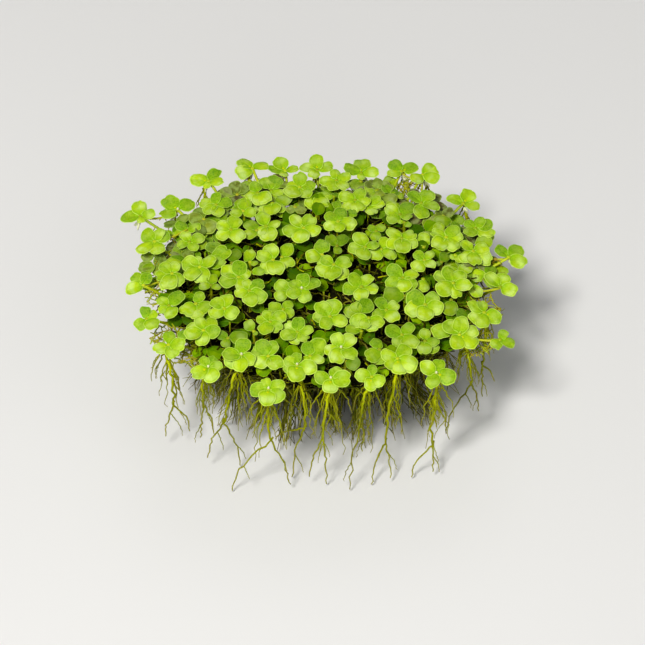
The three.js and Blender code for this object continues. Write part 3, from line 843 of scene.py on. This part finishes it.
def lower_leaves(looks):
    """Leaves darkened by painted shade that fill the gaps between the rosettes."""
    random = np.random.default_rng(LOWER_LEAVES_SEED)
    surface = Surface()
    for k in range(LOWER_LEAVES):
        x, y = on_plan(*strewn(k, LOWER_LEAVES, LOWER_REACH))[:2] + random.normal(0, 0.6, 2)
        crown = under_crowns(x, y, random.uniform(*LOWER_DROP))
        lean = lean_of((x, y))
        heading = random.uniform(*ANY_TURN)
        for step in range(1 + k % 2):
            # The last value of the mood is painted shade.
            mood = (random.uniform(0, 1), 0, random.choice(LOWER_PAINTED_SHADES))
            size = random.uniform(*LOWER_SIZE)
            rise = random.uniform(-0.3, 0.3)
            leaf(surface, crown, lean, heading + step * NEXT_LEAF_TURN, size, rise, mood, random)
        # Their stalks get half painted shade.
        carrier(surface, crown, (0.5, 0, 0.5), random, LOOSE_STALK_RADIUS)
    made = surface.piece("lower_leaves", looks)
    return made


def back_leaves(looks):
    """Leaves in pairs and threes, some of them old, in the loose strip along the back. Each leaf and stalk
    is darkened a little by painted shade.
    """
    random = np.random.default_rng(BACK_LEAVES_SEED)
    surface = Surface()
    for k in range(BACK_LEAVES):
        turn = math.radians(between(*BACK_TURNS, (k + 0.5) / BACK_LEAVES)) + random.normal(0, 0.02)
        share = between(*BACK_SHARE, GOLDEN_SHARE * k % 1)
        x, y, _ = on_plan(share, turn)
        crown = under_crowns(x, y, random.uniform(*BACK_DROP))
        lean = lean_of((x, y))
        heading = random.uniform(*ANY_TURN)
        age = random.choice(BACK_AGES)
        for step in range(2 + k % 2):
            # The last value of the mood is painted shade, up to half dark.
            mood = (random.uniform(0, 1), age, random.uniform(0, 0.5))
            size = random.uniform(*BACK_SIZE)
            rise = random.uniform(-0.2, 0.2)
            leaf(surface, crown, lean, heading + step * NEXT_LEAF_TURN, size, rise, mood, random)
        carrier(surface, crown, (0.5, 0.3 * age, 0.3), random, LOOSE_STALK_RADIUS)
    made = surface.piece("back_leaves", looks)
    return made


def matted_strands(looks):
    """Old runners and fine roots that lie in the gaps, most of them darkened by painted shade, and the
    runners between plants.
    """
    random = np.random.default_rng(MATTED_STRANDS_SEED)
    surface = Surface()
    for k in range(MATTED_STRANDS):
        share, turn = strewn(k, MATTED_STRANDS, MATTED_REACH)
        x, y, _ = on_plan(share * (1 + MATTED_FURTHER_BACK * max(0, math.sin(turn))), turn)
        middle = under_crowns(x, y, random.uniform(*MATTED_DROP))
        heading = random.uniform(*ANY_TURN)
        half = pointing(heading, random.uniform(-0.3, 0.3)) * random.uniform(*MATTED_HALF_LENGTH)
        bent = middle + random.normal(0, 0.4, 3)
        points = wander(smooth([middle - half, bent, middle + half], 7), 0.2, random)
        # The last value of the mood is painted shade, so that most strands are dark and the gaps look deep.
        mood = (random.uniform(0, 1), random.uniform(0, 0.3), random.choice(MATTED_PAINTED_SHADES))
        strand(surface, points, np.full(7, random.uniform(*MATTED_RADIUS)), 4, ROOT, mood)
    for ends in RUNNERS:
        start, end = (under_crowns(*crown, 0.5) for crown in ends)
        middle = (start + end) / 2 + [0, random.uniform(-0.6, 0.6), random.uniform(-0.9, -0.3)]
        runner = smooth([start, middle, end], 12)
        strand(surface, runner, np.full(12, RUNNER_RADIUS), 6, STEM, (0.9, 0.2, 0))
        knot(surface, runner[random.integers(4, 8)], random)
    for place, reach in NETS:
        net(surface, np.array(place), reach, random)
    made = surface.piece("matted_strands", looks)
    return made


def net(surface, place, reach, random):
    """Thin runners and roots that cross each other round a place."""
    for _ in range(NET_STRANDS):
        turn = random.uniform(*ANY_TURN)
        turns = (turn, turn + random.uniform(1.2, 3.8))
        start, end = (place + reach * pointing(way) + [0, 0, random.uniform(-1.6, 0.3)] for way in turns)
        middle = (start + end) / 2 + random.normal(0, 0.2 * reach, 3) * [1, 1, 0.5]
        line = wander(smooth([start, middle, end], 11), 0.3, random)
        # Some of the strands are darkened by painted shade.
        mood = (random.uniform(0, 1), random.uniform(0, 0.55), random.choice((0, 0.4)))
        strand(surface, line, np.full(11, random.uniform(*NET_RADIUS)), 5, STEM, mood)


def knot(surface, place, random):
    """A brown knot on a runner, with a few short old roots."""
    ball(surface, place, KNOT_RADII, STEM, (0.5, 0.8, 0))
    for _ in range(KNOT_ROOTS):
        end = place + [random.uniform(-1.5, 1.5), random.uniform(-1.2, 0.6), random.uniform(-1.5, 0.2)]
        line = smooth([place, (place + end) / 2 + [0, 0, 0.2], end], 5)
        strand(surface, line, tapered(5, 0.17, 0.08), 5, STEM, (0.6, 0.7, 0))


# The root tangle
def profile_share(height):
    """How far out the body of the mass reaches at a height, as a share of the mat's half width."""
    shares, heights = zip(*MASS_WALL)
    return np.interp(height, heights, shares)


def tangle_core(surface, random):
    """The dark closed body of painted shade inside the tangle: the profile of the mass, a little smaller."""
    wall = np.linspace(CORE_FLOOR, SHOULDER_HEIGHT - CORE_DEPTH, CORE_RINGS)
    inside = CORE_INSIDE + CORE_TUCK * np.exp(-wall / CORE_TUCK_HEIGHT)
    shares = [*(profile_share(wall) - inside), *CORE_TOP_SHARES]
    heights = [*wall, *(mass_top(share) - CORE_DEPTH for share in CORE_TOP_SHARES)]
    turns = full_circle(CORE_POINTS)
    ridge = 0.035 * np.sin(17 * turns) + 0.02 * np.sin(29 * turns + 1)
    spots = np.empty((len(heights), CORE_POINTS, 3))
    for k, (height, share) in enumerate(zip(heights, shares)):
        reach = share * (1 + ridge + random.normal(0, 0.012, CORE_POINTS))
        spots[k, :, 0] = reach * MAT_HALF_WIDTH * np.cos(turns)
        spots[k, :, 1] = reach * MAT_HALF_DEPTH * np.sin(turns)
        spots[k, :, 2] = height
    spots = np.vstack([spots.reshape(-1, 3), [0, 0, CORE_FLOOR], [0, 0, MASS_TOP - CORE_DEPTH]])
    faces = shell_faces(len(heights), CORE_POINTS)
    surface.add(spots, faces, TANGLE_CORE, np.zeros((len(spots), 3)), (0.5, 0, 1))


def tangle_root(surface, points, thick, shade, random, forked=True):
    """One root of the tangle, which may part into two ends on its last stretch."""
    # The shade value darkens the root as painted shade.
    mood = (random.uniform(0, 1), 0, shade)
    line = wander(smooth(points, 12), 0.12, random)
    if not forked:
        strand(surface, line, tapered(12, thick, FINE_TIP), 4, TANGLE_ROOT, mood)
        return
    fork = random.integers(5, 9)
    strand(surface, line[: fork + 1], tapered(fork + 1, thick, 0.6 * thick), 5, TANGLE_ROOT, mood, (0, 0.5))
    spread = random.uniform(0.5, 1.8)
    heading = random.uniform(*ANY_TURN)
    out = spread * pointing(heading) * [1, 0.5, 1]
    length = np.linspace(0, 1, 12 - fork)[:, None]
    for aside in (out, -out):
        limb = wander(line[fork:] + length**0.8 * aside, 0.14, random)
        strand(surface, limb, tapered(12 - fork, 0.6 * thick, FINE_TIP), 4, TANGLE_ROOT, mood, (0.5, 1))


def bundle(surface, k, random):
    """One of the bundles of roots, round the same line as in the part."""
    turn = math.radians(360 * (k + between(-0.3, 0.3, chance(k, 1))) / BUNDLES)
    low = 0.2 if k % 2 else between(0.5, 3.5, chance(k, 2))
    foot_share = BUNDLE_FOOT * between(0.92, 1.06, chance(k, 3))
    start_share, start_height = BUNDLE_START
    top_share, top_height = BUNDLE_TOP
    bend_share, bend_height = BUNDLE_BEND
    for _ in range(BUNDLE_ROOTS):
        heading = random.uniform(*ANY_TURN)
        aside = random.uniform(0, BUNDLE_RADIUS) * pointing(heading)
        foot = min(14, low + random.exponential(1.8))
        points = [
            on_plan(start_share, turn, start_height) + 0.9 * aside,
            on_plan(top_share, turn, top_height) + 0.9 * aside,
            on_plan(bend_share, turn, max(bend_height, foot + 2)) + 0.7 * aside,
            on_plan(foot_share, turn, foot) + random.uniform(0.4, 1.3) * aside,
        ]
        thick = random.uniform(*BUNDLE_THICK)
        tangle_root(surface, points, thick, random.choice(BUNDLE_PAINTED_SHADES), random)


def root_tangle(looks):
    """The dark body of painted shade, the bundles round it, the roots scattered between them and those on
    the body, the roots darkened by painted shade.
    """
    random = np.random.default_rng(ROOT_TANGLE_SEED)
    surface = Surface()
    tangle_core(surface, random)
    for k in range(BUNDLES):
        bundle(surface, k, random)
    for k in range(SCATTERED_ROOTS):
        turn = k * GOLDEN_TURN + random.normal(0, 0.05)
        share = random.uniform(*SCATTERED_SHARE)
        foot = random.uniform(0.2, 11)
        points = [
            on_plan(share, turn, mass_top(share) - 1.2),
            on_plan(between(share, 0.6, 0.5), turn + random.normal(0, 0.04), 15),
            on_plan(between(share, 0.58, 0.8), turn + random.normal(0, 0.06), foot),
        ]
        shade = random.uniform(*SCATTERED_PAINTED_SHADE)
        tangle_root(surface, points, random.uniform(*SCATTERED_THICK), shade, random, k % 3 == 0)
    for k in range(BODY_ROOTS):
        turn = k * GOLDEN_TURN + 0.7
        heights = (*BODY_HEIGHTS, random.uniform(0.2, 2.5))
        points = [on_plan(profile_share(h) + random.uniform(-0.02, 0.05), turn, h) for h in heights]
        thick = random.uniform(*BODY_THICK)
        tangle_root(surface, points, thick, random.uniform(*BODY_PAINTED_SHADE), random, False)
    made = surface.piece("root_tangle", looks)
    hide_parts("root_mass")
    return made


# Materials
class Nodes:
    """Short ways to add shader nodes to one material."""

    def __init__(self, name):
        self.material = bpy.data.materials.new(name)
        self.material.use_nodes = True
        self.tree = self.material.node_tree
        self.shader = self.tree.nodes["Principled BSDF"]
        self.colour = None

    def put(self, socket, value):
        if isinstance(value, bpy.types.NodeSocket):
            self.tree.links.new(value, socket)
        else:
            socket.default_value = value

    def new(self, kind, **inputs):
        made = self.tree.nodes.new(kind)
        for name, value in inputs.items():
            self.put(made.inputs[name], value)
        return made

    def attribute(self, name):
        """The three values of one of the mesh's attributes."""
        source = self.tree.nodes.new("ShaderNodeAttribute")
        source.attribute_name = name
        return self.new("ShaderNodeSeparateXYZ", Vector=source.outputs["Vector"]).outputs

    def math(self, operation, a, b):
        made = self.tree.nodes.new("ShaderNodeMath")
        made.operation = operation
        self.put(made.inputs[0], a)
        self.put(made.inputs[1], b)
        return made.outputs[0]

    def plus(self, a, b):
        return self.math("ADD", a, b)

    def times(self, a, b):
        return self.math("MULTIPLY", a, b)

    def step(self, value, low, high, to_low=0.0, to_high=1.0):
        """A value turned smoothly from one range to another."""
        made = self.tree.nodes.new("ShaderNodeMapRange")
        made.interpolation_type = "SMOOTHSTEP"
        for socket, given in zip(made.inputs, (value, low, high, to_low, to_high)):
            self.put(socket, given)
        return made.outputs[0]

    def mix(self, share, a, b, blend="MIX"):
        made = self.tree.nodes.new("ShaderNodeMix")
        made.data_type = "RGBA"
        made.blend_type = blend
        ends = [socket for socket in made.inputs if socket.type == "RGBA"]
        self.put(made.inputs[0], share)
        self.put(ends[0], a)
        self.put(ends[1], b)
        return next(socket for socket in made.outputs if socket.type == "RGBA")

    def over(self, share, colour, blend="MIX"):
        """Lays a colour over the one so far."""
        self.colour = self.mix(share, self.colour, colour, blend)

    def place(self):
        return self.tree.nodes.new("ShaderNodeTexCoord").outputs["Object"]

    def noise(self, scale, detail=2.0):
        made = self.new("ShaderNodeTexNoise", Vector=self.place(), Scale=scale, Detail=detail)
        return made.outputs["Fac"]

    def cells(self, scale):
        return self.new("ShaderNodeTexVoronoi", Vector=self.place(), Scale=scale).outputs["Distance"]

    def bump(self, height, strength, distance):
        made = self.new("ShaderNodeBump", Height=height, Strength=strength, Distance=distance)
        self.put(self.shader.inputs["Normal"], made.outputs["Normal"])

    def surface(self, roughness, **sockets):
        self.put(self.shader.inputs["Base Color"], self.colour)
        self.put(self.shader.inputs["Roughness"], roughness)
        for name, value in sockets.items():
            self.put(self.shader.inputs[name.replace("_", " ")], value)
        return self.material


def rgb(red, green, blue):
    return (red, green, blue, 1.0)


def leaf_look(name, tint=None):
    """Yellow-green and mottled, with painted shade at the crown and on one half, pale patches of painted
    highlight, fine dots, a pale rim of painted highlight with a dark line, and painted shade where asked.
    """
    look = Nodes(name)
    along, edge, across = look.attribute("shape")
    tone, age, shade = look.attribute("mood")
    patches = look.noise(420, 3)
    # The tone, partly painted light on a rosette's leaves, and the mottled patches turn deep green to pale.
    share = look.plus(look.times(tone, 0.65), look.times(patches, 0.5))
    look.colour = look.mix(look.step(share, 0.22, 0.85), rgb(0.08, 0.24, 0.0), rgb(0.45, 0.64, 0.002))
    # Painted highlight: pale patches in the middle of the leaf, as where a soft light gleams on it.
    painted_highlight = look.times(look.step(along, 0.3, 0.6), look.step(along, 0.7, 1.0, 1.0, 0.3))
    spread = look.step(look.noise(520, 3), 0.36, 0.66, 0.0, 0.8)
    painted_highlight = look.times(look.times(painted_highlight, spread), look.step(tone, 0.1, 0.8, 0.15, 1.25))
    look.over(painted_highlight, rgb(0.57, 0.76, 0.2))
    # Painted shade at the crown: deeper green towards the leaf's base, where the leaves overlap.
    painted_crown_shade = look.step(along, 0.1, 0.5, 0.85, 0.0)
    look.over(painted_crown_shade, rgb(0.2, 0.44, 0.0))
    dots = look.step(look.cells(2600), 0.1, 0.62, 0.0, 0.3)
    look.over(dots, rgb(0.5, 0.69, 0.03))
    # Painted shade on one half of the leaf, as if it were folded at the midrib; stronger with the tint.
    painted_fold_shade = look.step(across, -0.1, 0.06, 0.0, 0.5 if tint else 0.18)
    look.over(painted_fold_shade, rgb(0.1, 0.27, 0.0))
    inner = look.times(look.step(edge, 0.72, 0.84), look.step(edge, 0.84, 0.92, 0.35, 0.0))
    look.over(inner, rgb(0.1, 0.29, 0.0))
    # A pale rim of painted highlight, where the rounded edge of the leaf catches the light.
    rim = look.step(edge, 0.86, 0.98, 0.0, 0.55)
    look.over(rim, rgb(0.6, 0.8, 0.13))
    # Painted shade: the leaf darker green as far as the mood's shade asks.
    look.over(look.times(shade, 0.92), rgb(0.018, 0.075, 0.0))
    worn = look.mix(look.step(look.noise(700, 4), 0.4, 0.6), rgb(0.07, 0.04, 0.02), rgb(0.24, 0.28, 0.09))
    look.over(look.times(age, look.step(edge, 0.8, 1.0, 1.0, 0.5)), worn)
    # The tint darkens the whole leaf as painted shade.
    if tint:
        look.over(1.0, tint, "MULTIPLY")
    roughness = look.step(look.noise(1500), 0.2, 0.8, 0.36, 0.5)
    height = look.plus(look.times(look.cells(3400), 0.6), look.noise(1800, 3))
    look.bump(height, 0.25, 0.00012)
    return look.surface(
        roughness,
        Subsurface_Weight=0.08,
        Subsurface_Radius=(0.5, 0.9, 0.1),
        Subsurface_Scale=0.0006,
        Specular_IOR_Level=0.03 if tint else 0.06,
    )


def stem_look():
    """Smooth yellow-green, with faint streaks, brown where it is old, and darker where painted shade is
    asked for.
    """
    look = Nodes("duckweed stem")
    tone, age, shade = look.attribute("mood")
    tint = look.plus(look.times(tone, 0.5), look.times(look.noise(700, 3), 0.6))
    look.colour = look.mix(look.step(tint, 0.2, 0.9), rgb(0.28, 0.38, 0.0), rgb(0.52, 0.6, 0.008))
    # Painted shade: the stem darker as far as the mood's shade asks.
    look.over(look.times(shade, 0.8), rgb(0.07, 0.08, 0.002))
    look.over(age, rgb(0.34, 0.17, 0.02))
    look.bump(look.noise(2400, 3), 0.2, 0.0001)
    return look.surface(0.45, Subsurface_Weight=0.1, Subsurface_Scale=0.0005, Specular_IOR_Level=0.25)


def root_look():
    """Yellow-olive, greener and brighter where it starts, partly its own colour and partly painted light,
    paler at its tip, with fine bands.
    """
    look = Nodes("duckweed root")
    along, _, _ = look.attribute("shape")
    tone, age, shade = look.attribute("mood")
    tint = look.plus(look.times(tone, 0.55), look.times(look.noise(800, 4), 0.6))
    look.colour = look.mix(look.step(tint, 0.2, 0.95), rgb(0.08, 0.09, 0.0), rgb(0.26, 0.28, 0.0))
    look.over(age, rgb(0.11, 0.06, 0.004))
    # Greener where the root starts, its own colour, and brighter there as painted light.
    look.over(look.step(along, 0.0, 0.5, 0.9, 0.0), rgb(0.55, 0.62, 0.0))
    look.over(look.step(along, 0.6, 1.0, 0.0, 0.5), rgb(0.36, 0.32, 0.07))
    # Painted shade: the root darker as far as the mood's shade asks.
    look.over(look.times(shade, 0.96), rgb(0.014, 0.013, 0.0))
    look.bump(look.noise(3000, 3), 0.3, 0.0001)
    return look.surface(0.5, Subsurface_Weight=0.08, Subsurface_Scale=0.0004, Specular_IOR_Level=0.08)


def bud_look():
    """A cream-white bud in the middle of a rosette."""
    look = Nodes("duckweed bud")
    look.colour = look.mix(look.noise(2600, 2), rgb(0.62, 0.66, 0.3), rgb(0.85, 0.86, 0.58))
    look.bump(look.noise(3200), 0.2, 0.0001)
    return look.surface(0.35)


def core_look():
    """The dark matted inside of the root mass: near-black painted shade, with faintly lit flecks."""
    look = Nodes("matted roots in painted shade")
    lit = look.step(look.noise(900, 5), 0.35, 0.7)
    look.colour = look.mix(lit, rgb(0.003, 0.002, 0.0), rgb(0.02, 0.018, 0.002))
    look.bump(look.noise(1300, 5), 0.8, 0.0006)
    return look.surface(0.9, Specular_IOR_Level=0.08)


# The stage
def camera():
    made = add_object("camera", bpy.data.cameras.new("camera"))
    aim = Vector(CAMERA_AIM) * MM
    rise = math.radians(CAMERA_ELEVATION)
    back = Vector((0, -math.cos(rise), math.sin(rise)))
    made.location = aim + back * CAMERA_DISTANCE * MM
    made.rotation_euler = (-back).to_track_quat("-Z", "Y").to_euler()
    made.data.sensor_width = 36
    made.data.lens = CAMERA_LENS
    made.data.clip_start = 0.01
    made.data.clip_end = 20
    bpy.context.scene.camera = made


def area_light(name, place, size, power, colour):
    """A round light that points at the object."""
    light = bpy.data.lights.new(name, "AREA")
    light.shape = "DISK"
    light.size = size
    light.energy = power
    light.color = colour
    made = add_object(name, light)
    made.location = place
    made.rotation_euler = (-Vector(place)).to_track_quat("-Z", "Y").to_euler()


def lighting():
    for light in LIGHTS:
        area_light(*light)
    world = bpy.data.worlds.new("studio")
    world.use_nodes = True
    background = world.node_tree.nodes["Background"]
    background.inputs["Color"].default_value = rgb(0.9, 0.92, 0.95)
    background.inputs["Strength"].default_value = WORLD_STRENGTH
    bpy.context.scene.world = world
    bpy.context.scene.view_settings.view_transform = "Standard"


def floor():
    """A pale, even floor."""
    mesh = bpy.data.meshes.new("floor")
    corners = [(x * FLOOR_REACH, y * FLOOR_REACH, 0) for x, y in ((-1, -1), (1, -1), (1, 1), (-1, 1))]
    mesh.from_pydata(corners, [], [(0, 1, 2, 3)])
    look = Nodes("studio floor")
    look.colour = look.mix(look.noise(3, 2), rgb(0.76, 0.76, 0.75), rgb(0.8, 0.8, 0.79))
    mesh.materials.append(look.surface(0.8))
    made = add_object("floor", mesh)


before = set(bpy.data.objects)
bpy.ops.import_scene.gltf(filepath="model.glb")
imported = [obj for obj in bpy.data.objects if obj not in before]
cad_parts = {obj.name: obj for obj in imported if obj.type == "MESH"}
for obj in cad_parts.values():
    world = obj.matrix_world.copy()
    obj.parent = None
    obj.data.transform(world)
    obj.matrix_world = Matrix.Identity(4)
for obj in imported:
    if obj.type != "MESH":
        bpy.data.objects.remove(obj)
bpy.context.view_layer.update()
camera()

stem, root, bud = stem_look(), root_look(), bud_look()
looks = (leaf_look("duckweed leaf"), stem, root, bud)
# A copy of the leaf look, tinted darker as painted shade, for the lower leaves
shaded_looks = (leaf_look("shaded duckweed leaf", PAINTED_SHADE_TINT), stem, root, bud)
pieces = []
seed = 0
for side, plants in PLANTS.items():
    for k, plant in enumerate(plants, start=1):
        seed += 1
        pieces.append(plant_piece(side, k, plant, seed, looks))
pieces.append(more_plants(looks))
pieces.append(lower_leaves(shaded_looks))
pieces.append(back_leaves(looks))
pieces.append(matted_strands(looks))
pieces.append(root_tangle((root, core_look())))
for piece in pieces:
    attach(piece, "root")

lighting()
floor()
